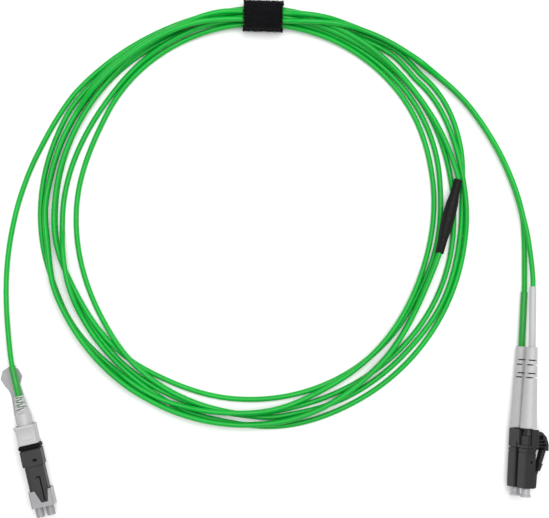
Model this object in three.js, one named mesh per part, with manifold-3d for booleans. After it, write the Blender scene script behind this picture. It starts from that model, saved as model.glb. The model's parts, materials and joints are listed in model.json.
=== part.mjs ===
// A duplex fibre patch cord laid flat in a tied coil. One end carries two LC plugs held in a
// duplex clip with a trigger, the other a small-form-factor duplex push-pull plug with a pull tab.
// Millimetres, +Z up, the table is Z = 0, and the origin lies midway between the two ends' plugs.
import * as THREE from 'three';
import { mergeVertices } from 'three/addons/utils/BufferGeometryUtils.js';
import Module from 'manifold-3d';

const wasm = await Module();
wasm.setup();

// ---- driving dimensions ----
const CABLE = 1.8; // diameter of the round cable and of each leg
const TUBE_RADIUS = 0.86; // of the cable's plain solids, which pass through the sleeves
const GAP = 0.3; // between pieces that touch
const FIT = 0.1; // between pieces that slide in each other

const COIL_CENTRE = [-6.4, 75.5];
const COIL_TOP = 5.4; // three layers of cable
const COIL_EDGE = 0.9; // bevel of the coil's section
// The coil's outline: clock angle in degrees, inner and outer radius.
const COIL_OUTLINE = [
  [0, 60.2, 73.6], [24, 61.9, 75.9], [38, 63.4, 75.5], [48, 64.3, 75.1], [60, 64.6, 73.7],
  [74, 64.7, 72.0], [88, 64.8, 71.4], [102, 64.6, 71.4], [114, 63.6, 71.9], [125, 62.6, 72.3],
  [136, 61.4, 73.6], [148, 60.6, 73.6], [160, 60.3, 74.2], [176, 60.6, 75.0], [200, 62.0, 75.1],
  [230, 64.6, 75.1], [255, 63.6, 74.7], [280, 62.6, 74.6], [310, 61.4, 74.3], [338, 59.8, 73.6],
];
const COIL_STATIONS = 72;

const STRAP_ANGLE = 88;
const STRAP_RADIUS = 68.0; // from the coil's centre to the middle of the bundle
const STRAP = { wide: 14, across: 10.8, high: 8.4, wall: 1.5 };
const BUNDLE_HEIGHT = 4.8; // of the nested layers inside the strap

const BREAKOUT = { from: [63.0, 86.9], to: [56.4, 61.5], height: 3.9, end: 1.58, middle: 2.15, tall: 1.15 };

// Routes of the uncoiled stretches, point by point from the coil to the plug.
const LEFT_LEAD = [
  [-69.9, 115.2, 0.9], [-75.1, 107.6, 0.9], [-79.6, 99.6, 0.9], [-83.3, 92.2, 0.9], [-86.0, 85.5, 0.9],
  [-88.3, 78.5, 0.9], [-90.0, 71.5, 0.9], [-91.2, 65.0, 0.9], [-92.0, 58.5, 0.9], [-92.4, 52.0, 0.9],
  [-92.4, 45.5, 1.0], [-92.1, 40.0, 1.4], [-91.6, 35.0, 2.2], [-91.0, 30.0, 3.1], [-90.35, 25.3, 3.7],
];
const RIGHT_LEAD = [
  [50.5, 126.7], [56.3, 122.3], [61.7, 117.6], [66.6, 112.4], [70.9, 106.7], [74.7, 100.8],
  [78.1, 94.6], [81.1, 87.9], [83.6, 81.0], [85.3, 74.5],
];
const LEG_SPLIT = {
  a: [[85.9, 68.5, 0.9], [86.1, 62.0, 0.9], [86.1, 56.0, 1.05]],
  b: [[86.7, 68.5, 3.0], [87.5, 62.5, 3.9], [88.1, 56.5, 4.9]],
};

// Small-form-factor plug: its own frame has +Y along the cable towards the tip and +Z up.
const SFF = { at: [-87.63, 12.7, 3.8], heading: 193, pitch: 0, roll: 0 };
const SFF_PITCH = 3.8; // between its two ferrules
const SFF_BASE = -3.8; // the underside of what it lies on
// LC duplex plug: its own +X runs from plug a to plug b and +Z is the latch side, rolled to the table.
const LC = { at: [86.3, 29.6, 5.0], heading: 176.95, pitch: 2.9, roll: 245 };
const LC_PITCH = 6.25; // between its two plugs
const LC_BODY = 4.4; // side of each plug's square body
const FERRULE_RADIUS = 0.625;

// ---- materials ----
function plain(color, roughness, metalness = 0) {
  return new THREE.MeshStandardMaterial({ color, roughness, metalness });
}
const GREEN_JACKET = plain(0x2fb84a, 0.45);
const GREEN_SLEEVE = plain(0x1fae3c, 0.5);
const WHITE_PLASTIC = plain(0xdcdcdc, 0.5);
const CLEAR_PLASTIC = plain(0xe6e6e8, 0.3);
const BLACK_PLASTIC = plain(0x3a3a3a, 0.5);
const BLACK_RUBBER = plain(0x0d0d0d, 0.7);
const BLACK_FABRIC = plain(0x111114, 0.95);
const ZIRCONIA = plain(0xf4f2ec, 0.25);
const STEEL = plain(0xb8bcc0, 0.35, 1);

// ---- geometry helpers ----
function solidOf(geometry) {
  const bare = geometry.clone();
  bare.deleteAttribute('normal');
  bare.deleteAttribute('uv');
  const merged = mergeVertices(bare, 1e-4);
  const mesh = new wasm.Mesh({
    numProp: 3,
    vertProperties: new Float32Array(merged.attributes.position.array),
    triVerts: new Uint32Array(merged.index.array),
  });
  return new wasm.Manifold(mesh);
}

function geometryOf(solid) {
  const mesh = solid.getMesh();
  const geometry = new THREE.BufferGeometry();
  geometry.setAttribute('position', new THREE.BufferAttribute(new Float32Array(mesh.vertProperties), 3));
  geometry.setIndex(new THREE.BufferAttribute(new Uint32Array(mesh.triVerts), 1));
  geometry.computeVertexNormals();
  return geometry;
}

// The first geometry with the others cut out of it, or joined to it.
function cut(geometry, ...tools) {
  return geometryOf(tools.reduce((solid, tool) => solid.subtract(solidOf(tool)), solidOf(geometry)));
}
function join(geometry, ...others) {
  return geometryOf(others.reduce((solid, other) => solid.add(solidOf(other)), solidOf(geometry)));
}

// A block between two corners.
function block(low, high) {
  const size = high.map((value, i) => value - low[i]);
  const middle = high.map((value, i) => (value + low[i]) / 2);
  return new THREE.BoxGeometry(...size).translate(...middle);
}

// A solid turned about the line X = x, from [radius, y] points listed rear to front.
function turned(profile, x = 0, segments = 24) {
  const points = profile.map(([radius, y]) => new THREE.Vector2(radius, y));
  return new THREE.LatheGeometry(points, segments).translate(x, 0, 0);
}
function rod(radius, y0, y1, x = 0, segments = 24) {
  return turned([[0, y0], [radius, y0], [radius, y1], [0, y1]], x, segments);
}
// A turned tube, from its outer profile and the radius of its bore.
function pipe(profile, bore, x = 0, segments = 24) {
  const inner = [[bore, profile.at(-1)[1]], [bore, profile[0][1]]];
  return turned([...profile, ...inner, profile[0]], x, segments);
}

function shapeOf(points) {
  return new THREE.Shape(points.map(([u, v]) => new THREE.Vector2(u, v)));
}
function roundedRectangle(left, right, low, high, radius) {
  const shape = new THREE.Shape();
  shape.absarc(right - radius, low + radius, radius, -Math.PI / 2, 0);
  shape.absarc(right - radius, high - radius, radius, 0, Math.PI / 2);
  shape.absarc(left + radius, high - radius, radius, Math.PI / 2, Math.PI);
  shape.absarc(left + radius, low + radius, radius, Math.PI, Math.PI * 1.5);
  return shape;
}
function extruded(shape, depth, basis) {
  const options = { depth, bevelEnabled: false, curveSegments: 3 };
  return new THREE.ExtrudeGeometry(shape, options).applyMatrix4(basis);
}
const AXIS_X = new THREE.Vector3(1, 0, 0);
const AXIS_Y = new THREE.Vector3(0, 1, 0);
const AXIS_Z = new THREE.Vector3(0, 0, 1);
// A shape drawn in X and Z, run along Y.
function along(shape, y0, y1) {
  const basis = new THREE.Matrix4().makeBasis(AXIS_X, AXIS_Z, AXIS_Y.clone().negate());
  return extruded(shape, y1 - y0, basis).translate(0, y1, 0);
}
// A shape drawn in Y and Z, run along X.
function across(shape, x0, x1) {
  const basis = new THREE.Matrix4().makeBasis(AXIS_Y, AXIS_Z, AXIS_X);
  return extruded(shape, x1 - x0, basis).translate(x0, 0, 0);
}
// A shape drawn in X and Y, run along Z.
function upward(shape, z0, z1) {
  return extruded(shape, z1 - z0, new THREE.Matrix4()).translate(0, 0, z0);
}

// An eight-sided tube along a smooth curve, with a flat side down.
function tube(curve, radius, spacing) {
  const shape = shapeOf(
    Array.from({ length: 8 }, (_, i) => {
      const angle = ((i + 0.5) * Math.PI) / 4;
      return [radius * Math.cos(angle), radius * Math.sin(angle)];
    }),
  );
  const steps = Math.round(curve.getLength() / spacing);
  return new THREE.ExtrudeGeometry(shape, { steps, extrudePath: curve, bevelEnabled: false });
}
function curveThrough(points) {
  return new THREE.CatmullRomCurve3(points.map((p) => new THREE.Vector3(...p)));
}

// A compression spring's wire: a helix about the line X = x.
class Helix extends THREE.Curve {
  constructor(x, radius, y0, y1, turns) {
    super();
    Object.assign(this, { x, radius, y0, y1, turns });
  }
  getPoint(t) {
    const angle = t * this.turns * Math.PI * 2;
    const y = this.y0 + (this.y1 - this.y0) * t;
    return new THREE.Vector3(this.x + this.radius * Math.cos(angle), y, this.radius * Math.sin(angle));
  }
}
const SPRING_TURNS = 5;
const SPRING_STEPS = 45;
function spring(x, radius, wire, y0, y1) {
  const corners = [0, 0.4, 0.8, 1.2, 1.6].map((turn) => turn * Math.PI);
  const shape = shapeOf(corners.map((angle) => [wire * Math.cos(angle), wire * Math.sin(angle)]));
  const extrudePath = new Helix(x, radius, y0 + wire, y1 - wire, SPRING_TURNS);
  return new THREE.ExtrudeGeometry(shape, { steps: SPRING_STEPS, extrudePath, bevelEnabled: false });
}

function add(group, name, geometry, material) {
  const mesh = new THREE.Mesh(geometry, material);
  mesh.name = name;
  group.add(mesh);
  return mesh;
}
function radians(degrees) {
  return (degrees * Math.PI) / 180;
}
// A plug's group: heading turns it about Z, pitch lifts its tip, and roll turns it about its length.
function plugGroup({ at, heading, pitch, roll }) {
  const group = new THREE.Group();
  group.position.set(...at);
  group.rotation.set(radians(pitch), radians(roll), radians(heading), 'ZXY');
  group.updateMatrixWorld(true);
  return group;
}
function worldPoint(group, x, y, z) {
  return group.localToWorld(new THREE.Vector3(x, y, z)).toArray();
}

// ---- a ferrule with its flange and spring, alike in both plugs ----
const FLANGE = { length: 1.2, tail: 3.1, bore: 0.35, cup: 0.68, cupDepth: 1.1 };
const SPRING_LENGTH = 4.0;
// front is the Y of the flange's front face, tip the Y of the ferrule's end.
function addFerrule(group, name, { x, front, tip, flangeRadius, tailRadius, springRadius, wire }) {
  const seat = front - FLANGE.length;
  const rear = seat - FLANGE.tail;
  const floor = front - FLANGE.cupDepth;
  const flange = [
    [FLANGE.bore, rear], [tailRadius, rear], [tailRadius, seat], [flangeRadius, seat], [flangeRadius, front],
    [FLANGE.cup, front], [FLANGE.cup, floor], [FLANGE.bore, floor], [FLANGE.bore, rear],
  ];
  add(group, name + '_flange', turned(flange, x, 16), STEEL);
  const ferrule = [
    [0, floor + FIT], [FERRULE_RADIUS, floor + FIT], [FERRULE_RADIUS, tip - 0.4], [0.4, tip], [0, tip],
  ];
  add(group, name + '_ferrule', turned(ferrule, x, 16), ZIRCONIA);
  add(group, name + '_spring', spring(x, springRadius, wire, seat - GAP - SPRING_LENGTH, seat - GAP), STEEL);
}

// Thin slots across a strain-relief boot, on its left and right or above and below in turn.
function bootSlots(x, core, stations) {
  const reach = 4;
  return stations.flatMap(({ y, wide, upright }) => {
    const half = wide / 2;
    return [-1, 1].map((side) => {
      const near = side > 0 ? core : -reach;
      const far = side > 0 ? reach : -core;
      return upright
        ? block([x - reach, y - half, near], [x + reach, y + half, far])
        : block([x + near, y - half, -reach], [x + far, y + half, reach]);
    });
  });
}

// ---- LC duplex plug ----
const LC_Y = {
  bootEnd: 27.6, clipRear: 28.0, clipFront: 34.2, bodyRear: 30.2, bodyWide: 34.5, bodyFront: 47.8,
  shoulder: 40.2, chamber: 41.2, flangeFront: 39.9, ferruleTip: 47.5, capRear: 43.0, capFront: 50.8,
};
const LC_SEAM = [35.6, 35.95]; // a shallow groove round each body
const LC_SIDES = { a: -LC_PITCH / 2, b: LC_PITCH / 2 };

function squareAbout(x, half, radius) {
  return roundedRectangle(x - half, x + half, -half, half, radius);
}

const LC_NECK = { half: 1.75, radius: 0.5 }; // the body where the clip holds it
const LC_CAVITY = 1.4;
function lcBody(x, outer) {
  const half = LC_BODY / 2;
  const neck = along(squareAbout(x, LC_NECK.half, LC_NECK.radius), LC_Y.bodyRear, LC_Y.bodyWide + 0.5);
  const barrel = along(squareAbout(x, half, 0.35), LC_Y.bodyWide, LC_Y.bodyFront);
  const cavity = turned(
    [
      [0, LC_Y.bodyRear - 1], [LC_CAVITY, LC_Y.bodyRear - 1], [LC_CAVITY, LC_Y.shoulder],
      [0.8, LC_Y.shoulder], [0.8, LC_Y.chamber], [1.65, LC_Y.chamber], [1.65, LC_Y.bodyFront + 1],
      [0, LC_Y.bodyFront + 1],
    ],
    x,
  );
  const seam = cut(along(squareAbout(x, 3, 0.3), ...LC_SEAM), along(squareAbout(x, half - 0.2, 0.3), 34, 38));
  // A small blind pin hole in the side that faces away from the other plug.
  const pinHole = new THREE.CylinderGeometry(0.45, 0.45, 1, 12).rotateZ(Math.PI / 2);
  pinHole.translate(x + outer * (half + 0.1), 38.95, 0.4);
  return cut(join(neck, barrel), cavity, seam, pinHole);
}

function lcLatch(x) {
  const lever = shapeOf([
    [47.7, 2.5], [47.7, 3.4], [46.4, 3.5], [43.2, 3.6], [42.0, 4.05], [39.8, 4.9], [38.7, 5.55],
    [34.9, 6.75], [34.9, 5.2], [38.7, 4.2], [40.0, 3.75], [41.6, 3.1], [43.2, 2.65],
  ]);
  const lugs = shapeOf([[41.8, 3.1], [41.8, 4.1], [39.9, 4.9], [39.3, 5.2], [39.3, 4.05], [40.0, 3.75]]);
  return join(across(lever, x - 1.1, x + 1.1), across(lugs, x - 2.0, x + 2.0));
}

function lcRearBody(x) {
  const profile = [
    [1.5, 20.5], [1.5, 29.1], [1.75, 29.1], [1.75, 29.9], [1.3, 29.9], [1.3, 34.1],
  ];
  return pipe(profile, 0.5, x, 16);
}

const LC_BOOT_BORE = { mouth: 1.3, step: 17.5, wide: 1.95 };
function lcBoot(x) {
  const { mouth, step, wide } = LC_BOOT_BORE;
  const outline = turned(
    [
      [mouth, 0], [1.8, 0], [1.9, 0.3], [2.25, 12], [2.85, LC_Y.bootEnd],
      [wide, LC_Y.bootEnd], [wide, step], [mouth, step], [mouth, 0],
    ],
    x,
    20,
  );
  const slots = [
    { y: 4.5, wide: 0.45, upright: false }, { y: 6.1, wide: 0.45, upright: true },
    { y: 9.0, wide: 0.45, upright: false }, { y: 10.4, wide: 0.45, upright: true },
  ];
  return cut(outline, ...bootSlots(x, 0.45, slots));
}

function lcCap(x) {
  return turned(
    [
      [0.95, LC_Y.capRear], [1.5, LC_Y.capRear], [1.5, 50.0], [1.9, 50.1], [1.9, LC_Y.capFront],
      [0, LC_Y.capFront], [0, 49.8], [0.95, 49.8], [0.95, LC_Y.capRear],
    ],
    x,
    20,
  );
}

const CLIP = { side: 5.4, low: -2.3, high: 3.1, pocket: 1.85, web: 1.2, sill: 0.15, ring: 33.4 };
function lcClip() {
  const { side, low, high, pocket, web, sill, ring } = CLIP;
  const shape = roundedRectangle(-side, side, low, high, 0.6);
  const tools = Object.values(LC_SIDES).flatMap((x) => [
    along(squareAbout(x, pocket, LC_NECK.radius), 28.8, 40),
    rod(1.8, 25, 30, x),
  ]);
  // The clip is open over plug b's outer lower corner, from the rear up to a ring at its front.
  tools.push(block([web, 27, -9], [9, ring, sill]));
  const slot = block([-0.35, 32.4, -9], [0.35, 40, -0.2]);
  const kept = along(shape, LC_Y.clipRear, LC_Y.clipFront);
  return cut(kept, ...tools, slot);
}

const TRIGGER_HALF_WIDTH = 2.9;
const TRIGGER_WEB = 2.0; // between the pockets of its two sides
// The pockets, between ribs: from and to along the plug, and how high.
const TRIGGER_POCKETS = [[29.9, 31.4, 6.4], [31.7, 32.5, 7.2], [32.8, 33.6, 7.6]];
function lcTrigger() {
  const shape = new THREE.Shape();
  shape.moveTo(29.4, 3.45);
  shape.quadraticCurveTo(30.2, 4.1, 33.9, 4.2);
  shape.lineTo(33.9, 7.0);
  shape.lineTo(35.1, 7.2);
  shape.lineTo(35.1, 8.8);
  shape.lineTo(33.0, 8.75);
  shape.quadraticCurveTo(28.3, 7.8, 28.3, 3.45);
  const pockets = TRIGGER_POCKETS.flatMap(([y0, y1, top]) => [
    block([-9, y0, 4.45], [-TRIGGER_WEB / 2, y1, top]),
    block([TRIGGER_WEB / 2, y0, 4.45], [9, y1, top]),
  ]);
  return cut(across(shape, -TRIGGER_HALF_WIDTH, TRIGGER_HALF_WIDTH), ...pockets);
}

const SLEEVE = { outer: 1.2, bore: 1.04, into: 1.2 };
const LC_SLEEVES = {
  a: { length: 18.8, turn: 0, material: GREEN_SLEEVE },
  b: { length: 20.6, turn: -3.2, material: WHITE_PLASTIC },
};
// The shrink sleeve on a leg, from just inside its boot; b leans towards a.
function addSleeve(group, name, x, { length, turn, material }) {
  const lean = new THREE.Group();
  lean.position.x = x;
  lean.rotation.z = radians(turn);
  add(lean, name, pipe([[SLEEVE.outer, -length], [SLEEVE.outer, SLEEVE.into]], SLEEVE.bore, 0, 16), material);
  group.add(lean);
  group.updateMatrixWorld(true);
  return lean;
}

function lcPlug() {
  const group = plugGroup(LC);
  for (const [side, x] of Object.entries(LC_SIDES)) {
    const name = 'lc_' + side;
    add(group, name + '_housing', lcBody(x, Math.sign(x)), BLACK_PLASTIC);
    add(group, name + '_latch', lcLatch(x), BLACK_PLASTIC);
    add(group, name + '_rear_body', lcRearBody(x), BLACK_PLASTIC);
    add(group, name + '_crimp_ring', pipe([[1.85, 19.0], [1.85, 27.0]], 1.6, x, 16), STEEL);
    add(group, name + '_boot', lcBoot(x), WHITE_PLASTIC);
    add(group, name + '_dust_cap', lcCap(x), CLEAR_PLASTIC);
    addFerrule(group, name, {
      x, front: LC_Y.flangeFront, tip: LC_Y.ferruleTip,
      flangeRadius: 1.3, tailRadius: 0.85, springRadius: 1.1, wire: 0.15,
    });
  }
  add(group, 'lc_duplex_clip', lcClip(), BLACK_PLASTIC);
  add(group, 'lc_trigger', lcTrigger(), BLACK_PLASTIC);
  return group;
}

// ---- small-form-factor duplex push-pull plug ----
const SFF_FERRULES = { 1: -SFF_PITCH / 2, 2: SFF_PITCH / 2 };
const SFF_Y = {
  bootEnd: 10.9, collar: [10.2, 16.8], rim: [17.0, 18.5], outer: [18.8, 24.3], inner: [20.6, 37.0],
  wide: 24.6, shoulder: [32.0, 33.0], flangeFront: 31.7, ferruleTip: 38.0, cap: [32.8, 38.6], capTip: 42.1,
};
const SLIDE_BORE = { x: 3.12, z: 3.05 }; // the hollow of all that slides together

function sliderRing([y0, y1], [left, right], top, radius) {
  const shape = roundedRectangle(left, right, SFF_BASE, top, radius);
  const { x, z } = SLIDE_BORE;
  return cut(along(shape, y0, y1), block([-x, y0 - 1, -z], [x, y1 + 1, z]));
}

function sffCollar() {
  const [rear, front] = SFF_Y.collar;
  const lip = sliderRing([rear, rear + 1.2], [-3.4, 3.9], 3.7, 0.8);
  const barrel = sliderRing([rear + 1.2, front], [-3.36, 3.52], 3.55, 0.8);
  return join(lip, barrel);
}

function sffOuterHousing() {
  const [rear, front] = SFF_Y.outer;
  const shell = sliderRing([rear, front], [-3.6, 3.6], 3.55, 0.4);
  const nub = block([3.4, front - 2.6, -0.8], [4.1, front - 0.4, 0.8]);
  const eyes = [-1.28, -0.62].map((x) => {
    const eye = new THREE.CylinderGeometry(0.45, 0.45, 1, 12).rotateX(Math.PI / 2);
    return eye.translate(x, 22.4, 3.65);
  });
  return cut(join(shell, nub), ...eyes);
}

function sffInnerHousing() {
  const [rear, front] = SFF_Y.inner;
  const tail = along(roundedRectangle(-3.0, 3.0, -2.6, 2.6, 0.3), rear, SFF_Y.wide + 1);
  const nose = along(roundedRectangle(-3.22, 3.22, -2.7, 2.7, 0.3), SFF_Y.wide, front);
  const bores = Object.values(SFF_FERRULES).map((x) =>
    turned(
      [
        [0, rear - 1], [0.85, rear - 1], [0.85, 26.1], [1.1, 26.1], [1.1, SFF_Y.shoulder[0]],
        [0.8, SFF_Y.shoulder[0]], [0.8, SFF_Y.shoulder[1]], [1.1, SFF_Y.shoulder[1]], [1.1, front + 1],
        [0, front + 1],
      ],
      x,
      20,
    ),
  );
  const slot = block([-1.4, 28.1, 2.2], [-0.9, 36.6, 3]);
  const foot = block([-1.4, 28.1, 2.2], [0.1, 28.6, 3]);
  const seam = block([2.35, SFF_Y.wide, 2.4], [2.6, 36, 3]);
  return cut(join(tail, nose), ...bores, slot, foot, seam);
}

function sffRearBody() {
  const body = block([-2.9, 13.8, -2.3], [2.9, 20.3, 2.3]);
  const plugs = Object.values(SFF_FERRULES).map((x) => rod(0.75, 19.5, 25.9, x, 16));
  const barrel = rod(1.5, 5.0, 14.5, 0, 20);
  return cut(join(body, barrel, ...plugs), rod(0.6, 4, 19, 0, 12));
}

function sffBoot() {
  const outline = turned([
    [1.3, 0], [1.62, 0], [1.75, 0.25], [2.6, 6.4], [2.72, 6.5], [2.72, SFF_Y.bootEnd],
    [2.1, SFF_Y.bootEnd], [2.1, 4.7], [1.3, 4.7], [1.3, 0],
  ]);
  const slots = [1.3, 2.5, 3.7, 4.9].map((y, i) => ({ y, wide: 0.45, upright: i % 2 === 0 }));
  return cut(outline, ...bootSlots(0, 0.8, slots));
}

// The tab lies flat under the boot and ends in a round finger paddle behind it.
const TAB = { thick: 0.55, front: 9.9, paddle: [1.6, -6.6], radius: 3.8 };
function sffPullTab() {
  const [px, py] = TAB.paddle;
  const shape = new THREE.Shape();
  shape.moveTo(-1.3, TAB.front);
  shape.lineTo(-1.2, 1.0);
  shape.quadraticCurveTo(-1.1, -1.5, px - TAB.radius * Math.cos(0.9), py + TAB.radius * Math.sin(0.9));
  shape.absarc(px, py, TAB.radius, Math.PI - 0.9, Math.PI * 2 + 0.75);
  shape.quadraticCurveTo(3.1, -2.2, 3.05, 0);
  shape.lineTo(3.5, 6.3);
  shape.lineTo(3.5, TAB.front);
  return upward(shape, SFF_BASE + 0.05, SFF_BASE + 0.05 + TAB.thick);
}

function sffDustCap() {
  const [rear, front] = SFF_Y.cap;
  const shell = along(roundedRectangle(-4.0, 3.8, SFF_BASE, 3.6, 0.6), rear, front);
  const stubs = Object.values(SFF_FERRULES).flatMap((x) => [
    rod(1.0, 33.6, front, x, 16),
    rod(1.45, front - 0.5, SFF_Y.capTip, x, 16),
  ]);
  const bores = Object.values(SFF_FERRULES).map((x) => rod(0.74, 33, 41.3, x, 16));
  const hollow = block([-3.55, rear - 1, -2.85], [3.35, 37.3, 2.85]);
  const notch = upward(shapeOf([[-3.3, rear - 1], [2.0, rear - 1], [0.05, 37.0], [-2.25, 37.0]]), -9, 9);
  return cut(join(cut(shell, hollow, notch), ...stubs), ...bores);
}

function sffPlug() {
  const group = plugGroup(SFF);
  add(group, 'sff_boot', sffBoot(), WHITE_PLASTIC);
  add(group, 'sff_crimp_ring', pipe([[1.95, 5.4], [1.95, 10.4]], 1.6, 0, 16), STEEL);
  add(group, 'sff_rear_body', sffRearBody(), BLACK_PLASTIC);
  add(group, 'sff_inner_housing', sffInnerHousing(), BLACK_PLASTIC);
  add(group, 'sff_outer_housing', sffOuterHousing(), BLACK_PLASTIC);
  add(group, 'sff_rim', sliderRing(SFF_Y.rim, [-3.78, 3.78], 3.75, 0.9), BLACK_RUBBER);
  add(group, 'sff_collar', sffCollar(), WHITE_PLASTIC);
  add(group, 'sff_pull_tab', sffPullTab(), CLEAR_PLASTIC);
  add(group, 'sff_dust_cap', sffDustCap(), CLEAR_PLASTIC);
  for (const [number, x] of Object.entries(SFF_FERRULES)) {
    addFerrule(group, 'sff_' + number, {
      x, front: SFF_Y.flangeFront, tip: SFF_Y.ferruleTip,
      flangeRadius: 1.0, tailRadius: 0.7, springRadius: 0.86, wire: 0.12,
    });
  }
  return group;
}

// ---- the cord ----
function atCoil(angle, radius, height) {
  const turn = radians(angle);
  const [x, y] = COIL_CENTRE;
  return new THREE.Vector3(x + radius * Math.cos(turn), y + radius * Math.sin(turn), height);
}

// The outline's radius at any angle, on a smooth closed curve through its stations.
function outlineAt(angle, column) {
  const count = COIL_OUTLINE.length;
  const angleOf = (i) => COIL_OUTLINE[((i % count) + count) % count][0] + 360 * Math.floor(i / count);
  const valueOf = (i) => COIL_OUTLINE[((i % count) + count) % count][column];
  let i = 0;
  while (angleOf(i + 1) <= angle) i += 1;
  const t = (angle - angleOf(i)) / (angleOf(i + 1) - angleOf(i));
  const ease = t * t * (3 - 2 * t);
  return valueOf(i) + (valueOf(i + 1) - valueOf(i)) * ease;
}

// The bundle lies on the table and rises onto the strap's lower wall.
function liftAt(angle) {
  const away = Math.abs(angle - STRAP_ANGLE);
  const flat = 8;
  const ramp = 24;
  const t = THREE.MathUtils.clamp((away - flat) / ramp, 0, 1);
  return (STRAP.wall + GAP) * (1 - t * t * (3 - 2 * t));
}

function coil() {
  const sections = [];
  for (let i = 0; i < COIL_STATIONS; i += 1) {
    const angle = (i * 360) / COIL_STATIONS;
    const inner = outlineAt(angle, 1);
    const outer = outlineAt(angle, 2);
    const low = liftAt(angle);
    const high = Math.max(COIL_TOP, low + BUNDLE_HEIGHT);
    const e = COIL_EDGE;
    const section = [
      [inner + e, low], [outer - e, low], [outer, low + e], [outer, high - e],
      [outer - e, high], [inner + e, high], [inner, high - e], [inner, low + e],
    ];
    sections.push(section.map(([radius, height]) => atCoil(angle, radius, height)));
  }
  const sides = sections[0].length;
  const index = [];
  sections.forEach((_, i) => {
    const next = (i + 1) % COIL_STATIONS;
    for (let j = 0; j < sides; j += 1) {
      const k = (j + 1) % sides;
      const [a, b, c, d] = [i * sides + j, i * sides + k, next * sides + k, next * sides + j];
      index.push(a, d, b, b, d, c);
    }
  });
  const geometry = new THREE.BufferGeometry().setFromPoints(sections.flat());
  geometry.setIndex(index);
  return geometry;
}

// The heat-shrink breakout, a spindle a little taller than wide; margin swells it.
function breakout(margin = 0) {
  const from = new THREE.Vector3(...BREAKOUT.from, BREAKOUT.height);
  const to = new THREE.Vector3(...BREAKOUT.to, BREAKOUT.height);
  const half = from.distanceTo(to) / 2;
  const end = BREAKOUT.end + margin;
  const middle = BREAKOUT.middle + margin;
  const profile = [
    [0, -half - margin], [end, -half - margin], [end, -half + 5], [middle, -half + 8.5],
    [middle, half - 8.5], [end, half - 5], [end, half + margin], [0, half + margin],
  ];
  const geometry = turned(profile, 0, 16).scale(1, 1, BREAKOUT.tall);
  const heading = Math.atan2(to.y - from.y, to.x - from.x) - Math.PI / 2;
  const middlePoint = from.clone().add(to).multiplyScalar(0.5);
  return geometry.rotateZ(heading).translate(...middlePoint.toArray());
}

function strap() {
  const { wide, across: size, high, wall } = STRAP;
  const shape = roundedRectangle(-size / 2, size / 2, 0, high, 2.2);
  const inner = roundedRectangle(-size / 2 + wall, size / 2 - wall, wall, high - wall, 1.4);
  const band = cut(along(shape, -wide / 2, wide / 2), along(inner, -wide, wide));
  const middle = atCoil(STRAP_ANGLE, STRAP_RADIUS, 0);
  return band.rotateZ(radians(STRAP_ANGLE)).translate(middle.x, middle.y, 0);
}

// A leg's route: stacked on the other leg, then apart, then through its sleeve into its boot.
function legCurve(side, height, lean, group) {
  const x = LC_SIDES[side];
  const { length } = LC_SLEEVES[side];
  const inSleeve = [-length - 2, -length + 2, -length / 2, -1].map((y) => worldPoint(lean, 0, y, 0));
  const inBoot = [2, 8, 14, 20.2].map((y) => worldPoint(group, x, y, 0));
  const stacked = RIGHT_LEAD.map(([px, py]) => [px, py, height]);
  return curveThrough([...stacked, ...LEG_SPLIT[side], ...inSleeve, ...inBoot]);
}

function leftCurve(group) {
  const inPlug = [-9, -4, 0, 4.6].map((y) => worldPoint(group, 0, y, 0));
  return curveThrough([...LEFT_LEAD, ...inPlug]);
}

// ---- assembly ----
const part = new THREE.Group();
const sff = sffPlug();
const lc = lcPlug();
part.add(sff, lc);

add(sff, 'sff_sleeve', pipe([[SLEEVE.outer, -10.5], [SLEEVE.outer, 3.6]], SLEEVE.bore, 0, 16), GREEN_SLEEVE);
add(part, 'left_lead', tube(leftCurve(sff), TUBE_RADIUS, 5), GREEN_JACKET);
const LEG_HEIGHTS = { a: CABLE / 2, b: CABLE * 1.5 };
for (const side of ['a', 'b']) {
  const lean = addSleeve(lc, 'lc_' + side + '_sleeve', LC_SIDES[side], LC_SLEEVES[side]);
  const curve = legCurve(side, LEG_HEIGHTS[side], lean, lc);
  add(part, 'leg_' + side + '_lead', tube(curve, TUBE_RADIUS, 5), GREEN_JACKET);
}
add(part, 'breakout_tube', breakout(), BLACK_RUBBER);
add(part, 'coil', cut(coil(), breakout(GAP)), GREEN_JACKET);
add(part, 'hook_and_loop_strap', strap(), BLACK_FABRIC);

export default part;
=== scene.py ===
"""Looks of a duplex fibre patch cord: a tied green coil, an LC duplex plug and a slim push-pull plug.

Lengths are in metres in Blender's calls and in millimetres in the named tables; mm() turns one into
the other. Each plug has a frame of its own, +Y along the cable towards the tip and +Z upwards.
"""

import json
import math

import bmesh
import bpy
import numpy as np
from mathutils import Matrix, Vector


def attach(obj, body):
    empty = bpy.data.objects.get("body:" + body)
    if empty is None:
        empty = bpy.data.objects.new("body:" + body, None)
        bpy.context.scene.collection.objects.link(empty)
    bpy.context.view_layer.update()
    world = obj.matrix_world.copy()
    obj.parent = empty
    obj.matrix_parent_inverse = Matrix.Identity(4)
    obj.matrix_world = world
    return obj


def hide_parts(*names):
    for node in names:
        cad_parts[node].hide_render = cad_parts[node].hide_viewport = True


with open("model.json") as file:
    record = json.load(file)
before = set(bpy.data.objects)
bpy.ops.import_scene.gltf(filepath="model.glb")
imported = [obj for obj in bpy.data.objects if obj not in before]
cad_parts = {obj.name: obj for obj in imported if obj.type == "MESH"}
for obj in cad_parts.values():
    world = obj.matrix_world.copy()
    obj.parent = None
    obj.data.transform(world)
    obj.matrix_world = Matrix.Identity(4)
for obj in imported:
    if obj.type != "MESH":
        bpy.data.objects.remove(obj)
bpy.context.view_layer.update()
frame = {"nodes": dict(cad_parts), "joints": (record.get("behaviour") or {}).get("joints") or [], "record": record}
RECORD = frame["record"]

MM = 0.001
ROOT = "cord_and_plugs"

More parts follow.
